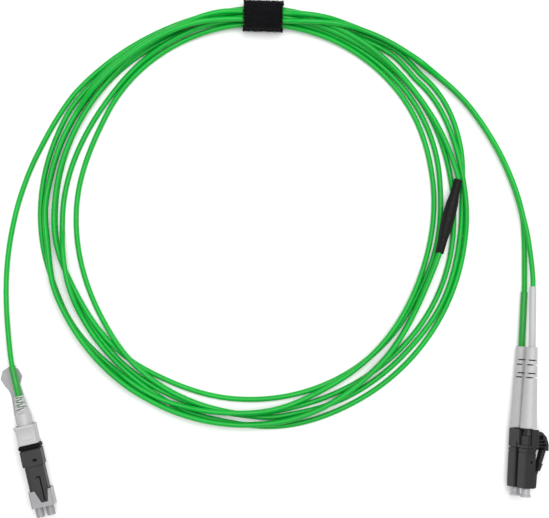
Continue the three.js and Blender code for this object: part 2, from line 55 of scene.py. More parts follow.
# ---- sizes shared with the CAD model, in millimetres ----
CABLE = 1.8  # diameter of the round cable and of each leg
COIL_CENTRE = (-6.4, 75.5)
STRAP_ANGLE = 88
STRAP_RADIUS = 68.0
STRAP_PRESS = 0.5  # how far the strap draws the bundle inwards
STRAP = {"wide": 14.0, "across": 10.8, "high": 8.4, "wall": 1.5}
STRAP_GAP = 0.3
LC_PITCH = 6.25
LC_SIDES = {"a": -LC_PITCH / 2, "b": LC_PITCH / 2}
SFF_PITCH = 3.8
SFF_BASE = -3.8
SLEEVE_RADIUS = 1.2
LC_SLEEVES = {"a": {"length": 18.8, "turn": 0.0}, "b": {"length": 20.6, "turn": -3.2}}
BREAKOUT = {"from": (63.0, 86.9), "to": (56.4, 61.5), "height": 3.9}


def mm(*values):
    return Vector([value * MM for value in values])


# ---- plug frames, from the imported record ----
def mount(name):
    return next(m for m in RECORD["mounts"] if m["name"] == name)


def joint(name):
    return next(j for j in frame["joints"] if j["name"] == name)


def plug_frame(front, side, known, known_local):
    """The matrix that takes a plug's own millimetres to the row frame's metres."""
    y = Vector(front).normalized()
    x = Vector(side).normalized()
    z = x.cross(y).normalized()
    x = y.cross(z)
    turn = Matrix((x, y, z)).transposed()
    origin = Vector(known) - turn @ mm(*known_local)
    return Matrix.Translation(origin) @ turn.to_4x4() @ Matrix.Scale(MM, 4)


def lc_frame():
    a, b = mount("lc_a_mating_face"), mount("lc_b_mating_face")
    middle = (Vector(a["pos_m"]) + Vector(b["pos_m"])) / 2
    return plug_frame(a["axis"], joint("latch_a_flex")["axis"], middle, (0, 47.8, -1.6))


def sff_frame():
    face = mount("sff_mating_face")
    front = Vector(face["axis"])
    return plug_frame(front, front.cross(Vector((0, 0, 1))), face["pos_m"], (0, 37, 2.0))


LC = lc_frame()
SFF = sff_frame()


# ---- the cord's route ----
# Uncoiled stretches, point by point from the coil to the plug.
LEFT_LEAD = [
    (-75.1, 107.6, 0.9), (-79.6, 99.6, 0.9), (-83.3, 92.2, 0.9), (-86.0, 85.5, 0.9),
    (-88.3, 78.5, 0.9), (-90.0, 71.5, 0.9), (-91.2, 65.0, 0.9), (-92.0, 58.5, 0.9), (-92.4, 52.0, 0.9),
    (-92.4, 45.5, 1.0), (-92.1, 40.0, 1.4), (-91.6, 35.0, 2.2), (-91.0, 30.0, 3.1), (-90.35, 25.3, 3.7),
]
RIGHT_LEAD = [
    (50.5, 126.7), (56.3, 122.3), (61.7, 117.6), (66.6, 112.4), (70.9, 106.7), (74.7, 100.8),
    (78.1, 94.6), (81.1, 87.9), (83.6, 81.0), (85.3, 74.5),
]
LEG_SPLIT = {
    "a": [(85.9, 68.5, 0.9), (86.1, 62.0, 0.9), (86.1, 56.0, 1.05)],
    "b": [(86.7, 68.5, 3.0), (87.5, 62.5, 3.9), (88.1, 56.5, 4.9)],
}
# The coil's turns in laying order, each as angles in degrees and radii from the coil's centre.
TURNS = [
    [(148, 74.9), (136, 72.8), (100, 70.4), (88, 70.7)],
    [
        (88, 70.7), (60, 71.6), (48, 74.2), (40, 74.2), (36, 74.9), (15, 73.5), (9, 72.1), (-30, 71.1),
        (-38, 70.7), (-68, 70.7), (-80, 70.4), (-86, 70.6), (-92, 70.0), (-130, 69.3), (-160, 68.5),
        (-170, 69.3), (-182, 69.0), (-236, 67.6), (-260, 66.9), (-272, 67.1),
    ],
    [
        (88, 67.1), (60, 67.0), (15, 64.9), (9, 64.2), (-12, 63.1), (-30, 62.4), (-38, 62.8), (-98, 64.5),
        (-121, 65.5), (-130, 66.6), (-160, 68.0), (-170, 69.3), (-188, 69.0), (-218, 68.0), (-236, 68.7),
        (-272, 68.9),
    ],
    [
        (88, 68.9), (60, 70.0), (48, 72.1), (40, 71.8), (36, 72.4), (9, 72.1), (0, 72.4), (-62, 73.5),
        (-86, 73.8), (-98, 72.6), (-110, 72.3), (-121, 71.1), (-160, 68.7), (-170, 67.3), (-182, 66.4),
        (-218, 64.2), (-236, 65.6), (-260, 67.2), (-272, 68.0),
    ],
    [
        (88, 68.0), (60, 68.2), (36, 68.7), (9, 68.1), (-20, 68.7), (-86, 68.7), (-92, 69.3), (-98, 69.0),
        (-130, 66.6), (-142, 64.7), (-182, 61.8), (-212, 61.4), (-218, 62.1), (-260, 65.1), (-272, 65.3),
    ],
    [
        (88, 65.3), (60, 65.3), (36, 64.2), (9, 61.8), (-20, 60.7), (-50, 63.0), (-68, 64.9), (-86, 68.0),
        (-98, 69.3), (-121, 72.1), (-130, 72.4), (-151, 74.0), (-160, 73.8), (-170, 74.2), (-200, 73.5),
        (-212, 72.8), (-218, 71.8), (-236, 70.4), (-260, 69.3), (-272, 69.8),
    ],
    [(88, 69.8), (60, 69.4), (36, 68.7), (9.3, 70.3)],
]
# The two legs lie on each other from the breakout back to the strap, and side by side inside it.
LEG_TURN = [
    (-12.5, 64.3), (-20, 63.7), (-50, 67.1), (-80, 71.9), (-92, 72.8), (-151, 74.0), (-160, 73.8),
    (-170, 72.4), (-182, 72.4), (-188, 71.8), (-200, 71.1), (-236, 69.0), (-260, 68.7), (-272, 67.5),
    (-300, 72.8), (-318, 76.6),
]
CABLE_RISE = 30.0  # how far from the breakout the cable starts to rise to it
LEG_DESCENT = 34.0  # how far from the breakout the legs come down to the turns under them
LEG_SPREAD = {"a": 1.35, "b": -1.35}  # radius added to each leg in the strap
TURN_STEP = 4  # degrees between the points that a turn is drawn through
ROUTE_STEP = 1.2  # millimetres between the points of a finished route
ROUTE_FINENESS = 8  # points of the smooth curve between two given ones
FLOOR_FADE = (8, 24)  # degrees from the strap: level up to the first, then down over the second
SPREAD_FADE = (8, 26)  # the same for how far the legs lie apart
PRESS_FADE = (10, 50)  # the same for how far the bundle is drawn inwards
END_INSIDE = 4  # how far a cable runs into the breakout tube


def coil_point(angle, radius):
    turn = math.radians(angle)
    return COIL_CENTRE[0] + radius * math.cos(turn), COIL_CENTRE[1] + radius * math.sin(turn)


def smoothstep(t):
    t = min(max(t, 0.0), 1.0)
    return t * t * (3 - 2 * t)


def from_strap(angle):
    return abs((angle - STRAP_ANGLE + 180) % 360 - 180)


def near_strap(angle, fade):
    """1 at the strap and 0 away from it."""
    level, slope = fade
    return 1 - smoothstep((from_strap(angle) - level) / slope)


def turn_radius(stations, angle):
    """The radius on a smooth curve through a turn's stations, whose angles run downwards."""
    where = np.array([-a for a, _ in stations], float)
    radius = np.array([r for _, r in stations], float)
    widths = np.diff(where)
    slopes = np.diff(radius) / widths
    tangents = np.empty(len(where))
    tangents[0], tangents[-1] = slopes[0], slopes[-1]
    tangents[1:-1] = (slopes[:-1] * widths[1:] + slopes[1:] * widths[:-1]) / (widths[:-1] + widths[1:])
    i = int(np.clip(np.searchsorted(where, -angle, side="right") - 1, 0, len(widths) - 1))
    t = (-angle - where[i]) / widths[i]
    held = (1 + 2 * t) * (1 - t) ** 2 * radius[i] + t * t * (3 - 2 * t) * radius[i + 1]
    bent = t * (1 - t) ** 2 * tangents[i] - t * t * (1 - t) * tangents[i + 1]
    return held + bent * widths[i]


def floor_height(angle):
    """What the bundle lies on: the table, or the strap's lower wall near the strap."""
    return (STRAP["wall"] + STRAP_GAP) * near_strap(angle, FLOOR_FADE)


def turn_points(stations, spread=0.0):
    """Points along one turn; spread moves it sideways inside the strap."""
    first, last = stations[0][0], stations[-1][0]
    count = max(2, round((first - last) / TURN_STEP))
    points = []
    for i in range(count + 1):
        angle = first + (last - first) * i / count
        radius = turn_radius(stations, angle) + spread * near_strap(angle, SPREAD_FADE)
        radius -= STRAP_PRESS * near_strap(angle, PRESS_FADE)
        points.append((*coil_point(angle, radius), CABLE / 2 + floor_height(angle)))
    return points


def smooth_route(points):
    """A smooth curve through the points, as points that are evenly apart."""
    p = np.array(points, float)
    p = np.vstack([2 * p[0] - p[1], p, 2 * p[-1] - p[-2]])
    fine = []
    for i in range(1, len(p) - 2):
        a, b, c, d = p[i - 1], p[i], p[i + 1], p[i + 2]
        for t in np.arange(ROUTE_FINENESS) / ROUTE_FINENESS:
            fine.append(
                0.5 * ((2 * b) + (c - a) * t + (2 * a - 5 * b + 4 * c - d) * t * t
                       + (3 * b - a - 3 * c + d) * t ** 3)
            )
    fine.append(p[-2])
    fine = np.array(fine)
    along = np.concatenate([[0], np.cumsum(np.linalg.norm(np.diff(fine, axis=0), axis=1))])
    stations = np.linspace(0, along[-1], round(along[-1] / ROUTE_STEP) + 1)
    return np.column_stack([np.interp(stations, along, fine[:, k]) for k in range(3)])


def local_points(matrix, points):
    return [tuple((matrix @ Vector(p)) / MM) for p in points]


def eased_to(points, end, height, reach):
    """The points, with their heights eased towards an end that lies at another height."""
    eased = []
    for x, y, z in points:
        near = 1 - smoothstep((end - Vector((x, y))).length / reach)
        eased.append((x, y, z + (height - z) * near))
    return eased


def main_points():
    in_plug = local_points(SFF, [(0, y, 0) for y in (4.6, 0, -4, -9)])
    points = in_plug + LEFT_LEAD[::-1]
    top, bottom = Vector(BREAKOUT["from"]), Vector(BREAKOUT["to"])
    for stations in TURNS[:-1]:
        points += turn_points(stations)[:-1]
    points += eased_to(turn_points(TURNS[-1])[:-1], top, BREAKOUT["height"], CABLE_RISE)
    inside = top + (bottom - top).normalized() * END_INSIDE
    return points + [(*top, BREAKOUT["height"]), (*inside, BREAKOUT["height"])]


def sleeve_frame(side):
    """The LC plug's frame, moved to one plug's axis and turned to where its sleeve points."""
    turn = Matrix.Rotation(math.radians(LC_SLEEVES[side]["turn"]), 4, "Z")
    return LC @ Matrix.Translation((LC_SIDES[side], 0, 0)) @ turn


def leg_points(side):
    level = {"a": -CABLE / 2, "b": CABLE / 2}[side]
    top, bottom = Vector(BREAKOUT["from"]), Vector(BREAKOUT["to"])
    inside = bottom + (top - bottom).normalized() * END_INSIDE
    height = BREAKOUT["height"] + level
    points = [(*inside, height), (*bottom, height)]
    points += eased_to(turn_points(LEG_TURN, LEG_SPREAD[side])[1:-1], bottom, height, LEG_DESCENT)
    points += [(x, y, CABLE / 2 + level + CABLE / 2) for x, y in RIGHT_LEAD] + LEG_SPLIT[side]
    length = LC_SLEEVES[side]["length"]
    in_sleeve = [(0, y, 0) for y in (-length - 2, -length + 2, -length / 2, -1)]
    in_boot = [(LC_SIDES[side], y, 0) for y in (2, 8, 14, 20.2)]
    return points + local_points(sleeve_frame(side), in_sleeve) + local_points(LC, in_boot)


# ---- how the turns settle on each other ----
OWN_REACH = 25.0  # millimetres along a strand within which it can't lie on itself
HUMP_REACH = 5.0  # millimetres before and after a crossing over which a turn rises
STACK_PITCH = 1.77  # between centres of cables that lie on each other
SETTLING_ROUNDS = 9
SMOOTHING_REACH = 2  # points to each side that a settled height is averaged with
CEILING_FADE = (6.0, 16)  # degrees from the strap: held down up to the first, then let go over the second
CEILING_RISE = 5.0  # how much higher a cable may lie away from the strap


def widest_within(values, reach):
    padded = np.pad(values, reach, mode="edge")
    return np.max([padded[k:k + len(values)] for k in range(2 * reach + 1)], axis=0)


def averaged(values, reach):
    weights = np.hanning(2 * reach + 3)[1:-1]
    padded = np.pad(values, reach, mode="edge")
    return np.convolve(padded, weights / weights.sum(), mode="valid")


def strap_ceiling(flat):
    """How high a cable's centre can lie: under the strap's upper wall, and free away from it."""
    angle = np.degrees(np.arctan2(flat[:, 1] - COIL_CENTRE[1], flat[:, 0] - COIL_CENTRE[0]))
    level, slope = CEILING_FADE
    t = np.clip((np.abs(angle - STRAP_ANGLE) - level) / slope, 0, 1)
    return STRAP["high"] - STRAP["wall"] - CABLE / 2 + CEILING_RISE * t * t * (3 - 2 * t)


def settle(strands):
    """Lifts each strand, in laying order, over the ones before it, and no higher than the strap allows."""
    sizes = [len(s) for s in strands]
    ends = np.cumsum(sizes)
    all_points = np.vstack(strands)
    strand_of = np.repeat(np.arange(len(strands)), sizes)
    flat = all_points[:, :2]
    given = all_points[:, 2]
    own = round(OWN_REACH / ROUTE_STEP)
    above, below, rise = [], [], []
    for i in range(1, len(flat)):
        apart = np.linalg.norm(flat[:i] - flat[i], axis=1)
        near = np.nonzero(apart < STACK_PITCH)[0]
        near = near[(strand_of[near] != strand_of[i]) | (i - near > own)]
        above += [i] * len(near)
        below += list(near)
        rise += list(np.sqrt(STACK_PITCH ** 2 - apart[near] ** 2))
    above, below, rise = np.array(above), np.array(below), np.array(rise)
    height = given.copy()
    reach = round(HUMP_REACH / ROUTE_STEP)
    for _ in range(SETTLING_ROUNDS):
        needed = given.copy()
        np.maximum.at(needed, above, height[below] + rise)
        lifts = np.split(needed - given, ends[:-1])
        height = given + np.concatenate([averaged(widest_within(lift, reach), reach) for lift in lifts])
    height = np.minimum(height, strap_ceiling(flat))
    parts = np.split(height, ends[:-1])
    height = np.concatenate([averaged(part, SMOOTHING_REACH) for part in parts])
    return np.split(np.column_stack([flat, height]), ends[:-1])


# ---- building pieces ----
def into_scene(obj):
    bpy.context.scene.collection.objects.link(obj)
    return obj


def set_piece(obj, body, material, slot, *nodes):
    """Gives a piece its material, the body it rides on and the CAD nodes it stands for. The slot argument is not
    used.
    """
    obj.data.materials.clear()
    obj.data.materials.append(material)
    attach(obj, body)
    if nodes:
        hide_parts(*nodes)
    return obj


def cable_curve(name, route, diameter):
    curve = bpy.data.curves.new(name, "CURVE")
    curve.dimensions = "3D"
    curve.bevel_depth = diameter * MM / 2
    curve.bevel_resolution = 6
    curve.use_fill_caps = True
    spline = curve.splines.new("POLY")
    spline.points.add(len(route) - 1)
    for point, place in zip(spline.points, route):
        point.co = (*(place * MM), 1.0)
    return into_scene(bpy.data.objects.new(name, curve))


SHARP = 35  # degrees


def soften(mesh, sharp=SHARP):
    """Smooth shading, with the edges that turn more than this many degrees kept crisp."""
    for face in mesh.polygons:
        face.use_smooth = True
    mesh.set_sharp_from_angle(angle=math.radians(sharp))


def mesh_piece(name, points, faces, sharp=SHARP):
    mesh = bpy.data.meshes.new(name)
    mesh.from_pydata([tuple(p) for p in points], [], faces)
    work = bmesh.new()
    work.from_mesh(mesh)
    bmesh.ops.remove_doubles(work, verts=work.verts, dist=1e-7)
    bmesh.ops.recalc_face_normals(work, faces=work.faces)
    work.to_mesh(mesh)
    work.free()
    soften(mesh, sharp)
    return into_scene(bpy.data.objects.new(name, mesh))


def loft(name, rings, closed=True, sharp=SHARP):
    """A skin over rings with equal counts of points; closed joins the last ring to the first."""
    size = len(rings[0])
    points = [p for ring in rings for p in ring]
    faces = []
    for i in range(len(rings) if closed else len(rings) - 1):
        j = (i + 1) % len(rings)
        for k in range(size):
            n = (k + 1) % size
            faces.append((i * size + k, i * size + n, j * size + n, j * size + k))
    if not closed:
        faces.append(tuple(range(size)))
        faces.append(tuple(range((len(rings) - 1) * size, len(rings) * size)))
    return mesh_piece(name, points, faces, sharp)


def turned(name, matrix, profile, x=0.0, sides=72, sharp=SHARP):
    """A body turned about the plug's line X = x, from (radius, y) points round its section."""
    rings = []
    for radius, y in profile:
        turns = [2 * math.pi * k / sides for k in range(sides)]
        rings.append([matrix @ Vector((x + radius * math.cos(t), y, radius * math.sin(t))) for t in turns])
    return loft(name, rings, True, sharp)


CORNER_STEPS = 8


def rounded_rectangle(left, right, low, high, radius, steps=CORNER_STEPS):
    """Points round a rounded rectangle, each with the direction that faces outwards there."""
    corners = [
        (right - radius, low + radius, -90), (right - radius, high - radius, 0),
        (left + radius, high - radius, 90), (left + radius, low + radius, 180),
    ]
    path = []
    for u, v, start in corners:
        for k in range(steps + 1):
            t = math.radians(start + 90 * k / steps)
            path.append((u + radius * math.cos(t), v + radius * math.sin(t), math.cos(t), math.sin(t)))
    return path


def rounded_ring(matrix, left, right, low, high, radius, y):
    """Points round a rounded rectangle across a plug, at one distance along it."""
    path = rounded_rectangle(left, right, low, high, radius)
    return [matrix @ Vector((u, y, v)) for u, v, _, _ in path]


def box_points(matrix, low, high):
    (x0, y0, z0), (x1, y1, z1) = low, high
    return [matrix @ Vector((x, y, z)) for z in (z0, z1) for x, y in ((x0, y0), (x1, y0), (x1, y1), (x0, y1))]


BOX_FACES = [(0, 3, 2, 1), (4, 5, 6, 7), (0, 1, 5, 4), (1, 2, 6, 5), (2, 3, 7, 6), (3, 0, 4, 7)]


def carve(obj, boxes, sharp):
    """Cuts boxes, each a list of eight corners, out of a piece."""
    points, faces = [], []
    for corners in boxes:
        base = len(points)
        points += corners
        faces += [tuple(base + k for k in face) for face in BOX_FACES]
    tool = mesh_piece("cutting_tool", points, faces)
    cut = obj.modifiers.new("cut", "BOOLEAN")
    cut.operation = "DIFFERENCE"
    cut.solver = "EXACT"
    cut.object = tool
    seen = obj.evaluated_get(bpy.context.evaluated_depsgraph_get())
    mesh = bpy.data.meshes.new_from_object(seen)
    obj.modifiers.clear()
    obj.data = mesh
    soften(mesh, sharp)
    bpy.data.objects.remove(tool)
    return obj


def round_edges(obj, width):
    rounding = obj.modifiers.new("rounding", "BEVEL")
    rounding.width = width * MM
    rounding.segments = 3
    rounding.limit_method = "ANGLE"
    rounding.angle_limit = math.radians(30)
    normals = obj.modifiers.new("normals", "WEIGHTED_NORMAL")
    normals.keep_sharp = True
    return obj


def refined(node, bevel):
    """A finer copy of a CAD node: its facets joined, its faces smooth and its edges rounded."""
    source = frame["nodes"][node]
    mesh = source.data.copy()
    mesh.transform(source.matrix_world)
    work = bmesh.new()
    work.from_mesh(mesh)
    bmesh.ops.remove_doubles(work, verts=work.verts, dist=1e-6)
    bmesh.ops.dissolve_limit(
        work, angle_limit=math.radians(1.0), verts=work.verts, edges=work.edges,
        use_dissolve_boundaries=False,
    )
    work.to_mesh(mesh)
    work.free()
    soften(mesh, 32)
    obj = into_scene(bpy.data.objects.new(node + "_shape", mesh))
    return round_edges(obj, bevel)


# ---- materials ----
def node_material(name):
    material = bpy.data.materials.new(name)
    material.use_nodes = True
    nodes = material.node_tree.nodes
    return material, nodes, material.node_tree.links, nodes["Principled BSDF"]


def noise(nodes, links, scale, detail=4.0, stretch=None):
    place = nodes.new("ShaderNodeTexCoord")
    texture = nodes.new("ShaderNodeTexNoise")
    texture.inputs["Scale"].default_value = scale
    texture.inputs["Detail"].default_value = detail
    if stretch:
        mapping = nodes.new("ShaderNodeMapping")
        mapping.inputs["Scale"].default_value = stretch
        links.new(place.outputs["Object"], mapping.inputs["Vector"])
        links.new(mapping.outputs["Vector"], texture.inputs["Vector"])
    else:
        links.new(place.outputs["Object"], texture.inputs["Vector"])
    return texture.outputs["Fac"]


def ramp(nodes, links, source, stops):
    mix = nodes.new("ShaderNodeValToRGB")
    elements = mix.color_ramp.elements
    while len(elements) < len(stops):
        elements.new(0.5)
    for element, (place, colour) in zip(elements, stops):
        element.position = place
        element.color = (*colour, 1.0)
    links.new(source, mix.inputs["Fac"])
    return mix.outputs["Color"]


def spread(nodes, links, source, low, high):
    fit = nodes.new("ShaderNodeMapRange")
    fit.inputs["From Min"].default_value = 0.3
    fit.inputs["From Max"].default_value = 0.7
    fit.inputs["To Min"].default_value = low
    fit.inputs["To Max"].default_value = high
    links.new(source, fit.inputs["Value"])
    return fit.outputs["Result"]


def bump(nodes, links, shader, source, strength, distance):
    raised = nodes.new("ShaderNodeBump")
    raised.inputs["Strength"].default_value = strength
    raised.inputs["Distance"].default_value = distance
    links.new(source, raised.inputs["Height"])
    links.new(raised.outputs["Normal"], shader.inputs["Normal"])


def moulded(name, colour, roughness, grain=2600, depth=0.00002, vary=0.06, specular=0.5):
    """Moulded plastic: a slow drift of colour, a fine grain, and a roughness that follows it."""
    material, nodes, links, shader = node_material(name)
    drift = noise(nodes, links, 260, 3)
    fine = noise(nodes, links, grain, 6)
    darker = tuple(c * (1 - vary) for c in colour)
    lighter = tuple(min(1.0, c * (1 + vary)) for c in colour)
    links.new(ramp(nodes, links, drift, [(0.3, darker), (0.7, lighter)]), shader.inputs["Base Color"])
    links.new(spread(nodes, links, fine, roughness * 0.85, roughness * 1.15), shader.inputs["Roughness"])
    shader.inputs["Specular IOR Level"].default_value = specular
    bump(nodes, links, shader, fine, 0.25, depth)
    return material


def cable_jacket(name, colour, roughness):
    """A glossy extruded jacket: a slow drift of colour under a fine grain."""
    material, nodes, links, shader = node_material(name)
    drift = noise(nodes, links, 45, 3)
    grain = noise(nodes, links, 2200, 5)
    tones = [tuple(c * k for c in colour) for k in (0.9, 1.0, 1.12)]
    stops = list(zip((0.3, 0.5, 0.72), tones))
    links.new(ramp(nodes, links, drift, stops), shader.inputs["Base Color"])
    links.new(spread(nodes, links, grain, roughness * 0.8, roughness * 1.2), shader.inputs["Roughness"])
    shader.inputs["Specular IOR Level"].default_value = 0.22
    bump(nodes, links, shader, grain, 0.3, 0.00001)
    return material


def milky(name, colour, roughness):
    """A cloudy polymer that light soaks a little way into."""
    material = moulded(name, colour, roughness, 1500, 0.00001, 0.04)
    shader = material.node_tree.nodes["Principled BSDF"]
    shader.inputs["Subsurface Weight"].default_value = 0.25
    shader.inputs["Subsurface Radius"].default_value = (1.0, 1.0, 1.0)
    shader.inputs["Subsurface Scale"].default_value = 0.0008
    return material


def fuzzy(name, colour):
    """Loop fabric: a coarse mottle of loops over a weave, with hardly any shine."""
    material, nodes, links, shader = node_material(name)
    loops = noise(nodes, links, 1500, 8)
    weave = noise(nodes, links, 420, 3, (1.0, 2.6, 1.0))
    tones = [tuple(c * k for c in colour) for k in (0.5, 1.0, 2.0)]
    links.new(ramp(nodes, links, loops, list(zip((0.32, 0.5, 0.7), tones))), shader.inputs["Base Color"])
    links.new(spread(nodes, links, weave, 0.85, 1.0), shader.inputs["Roughness"])
    shader.inputs["Specular IOR Level"].default_value = 0.15
    shader.inputs["Sheen Weight"].default_value = 0.05
    bump(nodes, links, shader, loops, 0.9, 0.0004)
    return material


GREEN = cable_jacket("green_jacket_look", (0.002, 0.36, 0.032), 0.24)
GREEN_SLEEVE = moulded("green_sleeve_look", (0.006, 0.27, 0.022), 0.42, 900, 0.00003, 0.06)
WHITE_SLEEVE = moulded("white_sleeve_look", (0.43, 0.43, 0.435), 0.4, 900, 0.00003, 0.03)
WHITE = moulded("white_plastic_look", (0.41, 0.41, 0.412), 0.45, 2600, 0.00002, 0.03)
BLACK = moulded("black_plastic_look", (0.0125, 0.0125, 0.0133), 0.5, 3200, 0.00004, 0.2, 0.36)
CLEAR = milky("clear_plastic_look", (0.285, 0.285, 0.295), 0.3)
CAP = milky("cap_plastic_look", (0.355, 0.355, 0.365), 0.32)
SFF_CAP = milky("sff_cap_look", (0.265, 0.265, 0.275), 0.32)
RUBBER = moulded("black_rubber_look", (0.0018, 0.0018, 0.0018), 0.7, 1500, 0.00002, 0.15, 0.12)
SHRINK = moulded("heat_shrink_look", (0.005, 0.004, 0.0045), 0.62, 700, 0.00006, 0.3, 0.2)
FABRIC = fuzzy("strap_look", (0.0022, 0.0018, 0.0026))
CERAMIC = moulded("ceramic_look", (0.85, 0.83, 0.78), 0.2, 3000, 0.000002, 0.02)
STEEL = moulded("steel_look", (0.5, 0.51, 0.53), 0.35, 3000, 0.00001, 0.05)
STEEL.node_tree.nodes["Principled BSDF"].inputs["Metallic"].default_value = 1.0

LOOKS = {
    "green_jacket": GREEN, "green_sleeve": GREEN_SLEEVE, "white_sleeve": WHITE_SLEEVE,
    "white_plastic": WHITE, "clear_plastic": CLEAR, "cap_plastic": CAP, "black_plastic": BLACK,
    "black_rubber": RUBBER, "black_heat_shrink": SHRINK, "black_fabric": FABRIC,
    "zirconia": CERAMIC, "steel": STEEL,
}
SLOT_OF = {part["node"]: part["material_slot"] for part in RECORD["subparts"]}
BODY_OF = {node: body for body, nodes in RECORD["behaviour"]["bodies"].items() for node in nodes}


def look_of_nodes():
    for name, node in frame["nodes"].items():
        node.data.materials.clear()
        node.data.materials.append(LOOKS[SLOT_OF[name]])


def stand_for(obj, node):
    """Gives a piece the look, the body and the place of the one CAD node that it stands for."""
    return set_piece(obj, BODY_OF[node], LOOKS[SLOT_OF[node]], SLOT_OF[node], node)


# ---- the LC duplex plug ----
LC_BODY = 4.4  # across a plug's square body
# Where the side pin hole of plug b is, and how deep its near-black plate of painted shade sits (floor).
PIN_HOLE = {"y": 38.95, "z": 0.4, "radius": 0.44, "floor": 0.26}
BOOT_SHARP = 28  # degrees
BOOT_CORE = 0.45  # from the boot's axis to the inner end of a slot
BOOT_SLOTS = [(4.5, False), (6.1, True), (9.0, False), (10.4, True)]  # where, and if above and below
BOOT_SLOT_WIDTH = 0.42
SLOT_REACH = 4.0  # past the outside of any boot


def boot_slots(x):
    """Thin slots across a boot, on its left and right or above and below in turn."""
    boxes = []
    for y, upright in BOOT_SLOTS:
        rear, front = y - BOOT_SLOT_WIDTH / 2, y + BOOT_SLOT_WIDTH / 2
        for near, far in ((BOOT_CORE, SLOT_REACH), (-SLOT_REACH, -BOOT_CORE)):
            if upright:
                low, high = (x - SLOT_REACH, rear, near), (x + SLOT_REACH, front, far)
            else:
                low, high = (x + near, rear, -SLOT_REACH), (x + far, front, SLOT_REACH)
            boxes.append(box_points(LC, low, high))
    return boxes


def lc_boot(side):
    x = LC_SIDES[side]
    profile = [
        (1.3, 0), (1.69, 0), (1.82, 0.1), (1.9, 0.35), (2.25, 12), (2.5, 19), (2.79, 26.2), (2.85, 26.5),
        (2.85, 27.35), (2.75, 27.6), (1.95, 27.6), (1.95, 17.5), (1.3, 17.5),
    ]
    boot = turned("lc_" + side + "_boot_shape", LC, profile, x, sharp=BOOT_SHARP)
    carve(boot, boot_slots(x), BOOT_SHARP)
    stand_for(boot, "lc_" + side + "_boot")
    # A dark tube of painted shade in the heat-shrink look inside the boot, so that its slots show shade instead of
    # the green cable.
    shade_tube_profile = [(0.96, 3.0), (1.27, 3.0), (1.27, 12.0), (0.96, 12.0)]
    slot_shade_tube = turned("lc_" + side + "_boot_slot_shade_tube", LC, shade_tube_profile, x, 48)
    set_piece(slot_shade_tube, BODY_OF["lc_" + side + "_boot"], SHRINK, "black_heat_shrink")


def sleeve(name, matrix, rear, front):
    """A shrink sleeve: a thin tube drawn in at its rear end."""
    profile = [
        (1.0, rear), (1.08, rear), (1.16, rear + 0.12), (1.2, rear + 0.5), (1.17, rear + 3), (1.2, rear + 5),
        (1.2, front - 0.1), (1.15, front), (1.04, front), (1.04, rear + 0.5),
    ]
    return turned(name, matrix, profile, 0.0, 48, 50)


def lc_sleeve(side):
    name = "lc_" + side + "_sleeve"
    piece = sleeve(name + "_shape", sleeve_frame(side), -LC_SLEEVES[side]["length"], 1.2)
    return stand_for(piece, name)


def lc_cap(side):
    """A blind tube over the ferrule, with a rounded rim at its closed end."""
    profile = [
        (0.95, 43.0), (1.4, 43.0), (1.5, 43.1), (1.5, 49.8), (1.6, 50.0), (1.82, 50.05), (1.9, 50.15),
        (1.9, 50.65), (1.78, 50.8), (0.9, 50.8), (0.7, 50.6), (0.0001, 50.55), (0.0001, 49.8), (0.95, 49.8),
    ]
    cap = turned("lc_" + side + "_dust_cap_shape", LC, profile, LC_SIDES[side], sharp=40)
    stand_for(cap, "lc_" + side + "_dust_cap")


def painted_shade_plate(name, matrix, points, depth, node):
    """Painted shade in a hollow of a node: a thin near-black plate in the black rubber look that fills its
    outline, drawn in below.
    """
    rings = [[matrix @ Vector((x, y, -depth - drop)) for x, y in points] for drop in (0.0, 0.04, 0.1)]
    middle = sum(rings[0], Vector()) / len(points)
    rings[2] = [middle + (p - middle) * 0.9 for p in rings[2]]
    return set_piece(loft(name, rings, False, 60), BODY_OF[node], RUBBER, "black_rubber")


def circle(x, y, radius, count=24):
    turns = [2 * math.pi * k / count for k in range(count)]
    return [(x + radius * math.cos(t), y + radius * math.sin(t)) for t in turns]


def build_lc_plug():
    for side in LC_SIDES:
        name = "lc_" + side
        lc_boot(side)
        lc_cap(side)
        stand_for(refined(name + "_housing", 0.13), name + "_housing")
        stand_for(refined(name + "_latch", 0.16), name + "_latch")
    outwards = Matrix.Rotation(math.radians(90), 4, "Y")
    outer = LC @ Matrix.Translation((LC_SIDES["b"] + LC_BODY / 2, 0, 0)) @ outwards
    # A near-black plate of painted shade in the side pin hole of plug b.
    hole = circle(-PIN_HOLE["z"], PIN_HOLE["y"], PIN_HOLE["radius"])
    painted_shade_plate("lc_pin_hole_floor", outer, hole, PIN_HOLE["floor"], "lc_b_housing")
    stand_for(refined("lc_duplex_clip", 0.14), "lc_duplex_clip")
    stand_for(refined("lc_trigger", 0.16), "lc_trigger")


# ---- the slim push-pull plug ----
SLIDE_BORE = {"x": 3.12, "z": 3.05}  # the hollow of all that slides together
PANEL = {"middle": 13.5, "corner": 0.6, "shorter": 0.3}  # the rounded square drawn on the collar
RIM = {"middle": 17.75, "half_thick": 0.78, "half_wide": 3.8, "top": 3.8, "inset": 0.5}
RIM_STEPS = 8
BOOT_SHOULDER = 4.6  # how far the boot hugs the cable
ZIGZAG = {
    "slots": 8, "first": 0.6, "pitch": 0.77, "tilt": 9, "wide": 0.34, "wide_below": 0.3, "past_middle": 1.0,
}
ZIGZAG_FLOOR = {"cable": 0.6, "wall": 1.95}  # a slot's floor above the axis: over the cable, and past it
EYE_TOP = 3.55  # the face that the two small eyes are sunk in
EYES = {1: -1.28, 2: -0.62}
KEY_TOP = 2.7  # the face that the keyway is cut in
KEYWAY = [(-1.4, 28.1), (0.1, 28.1), (0.1, 28.6), (-0.9, 28.6), (-0.9, 36.6), (-1.4, 36.6)]


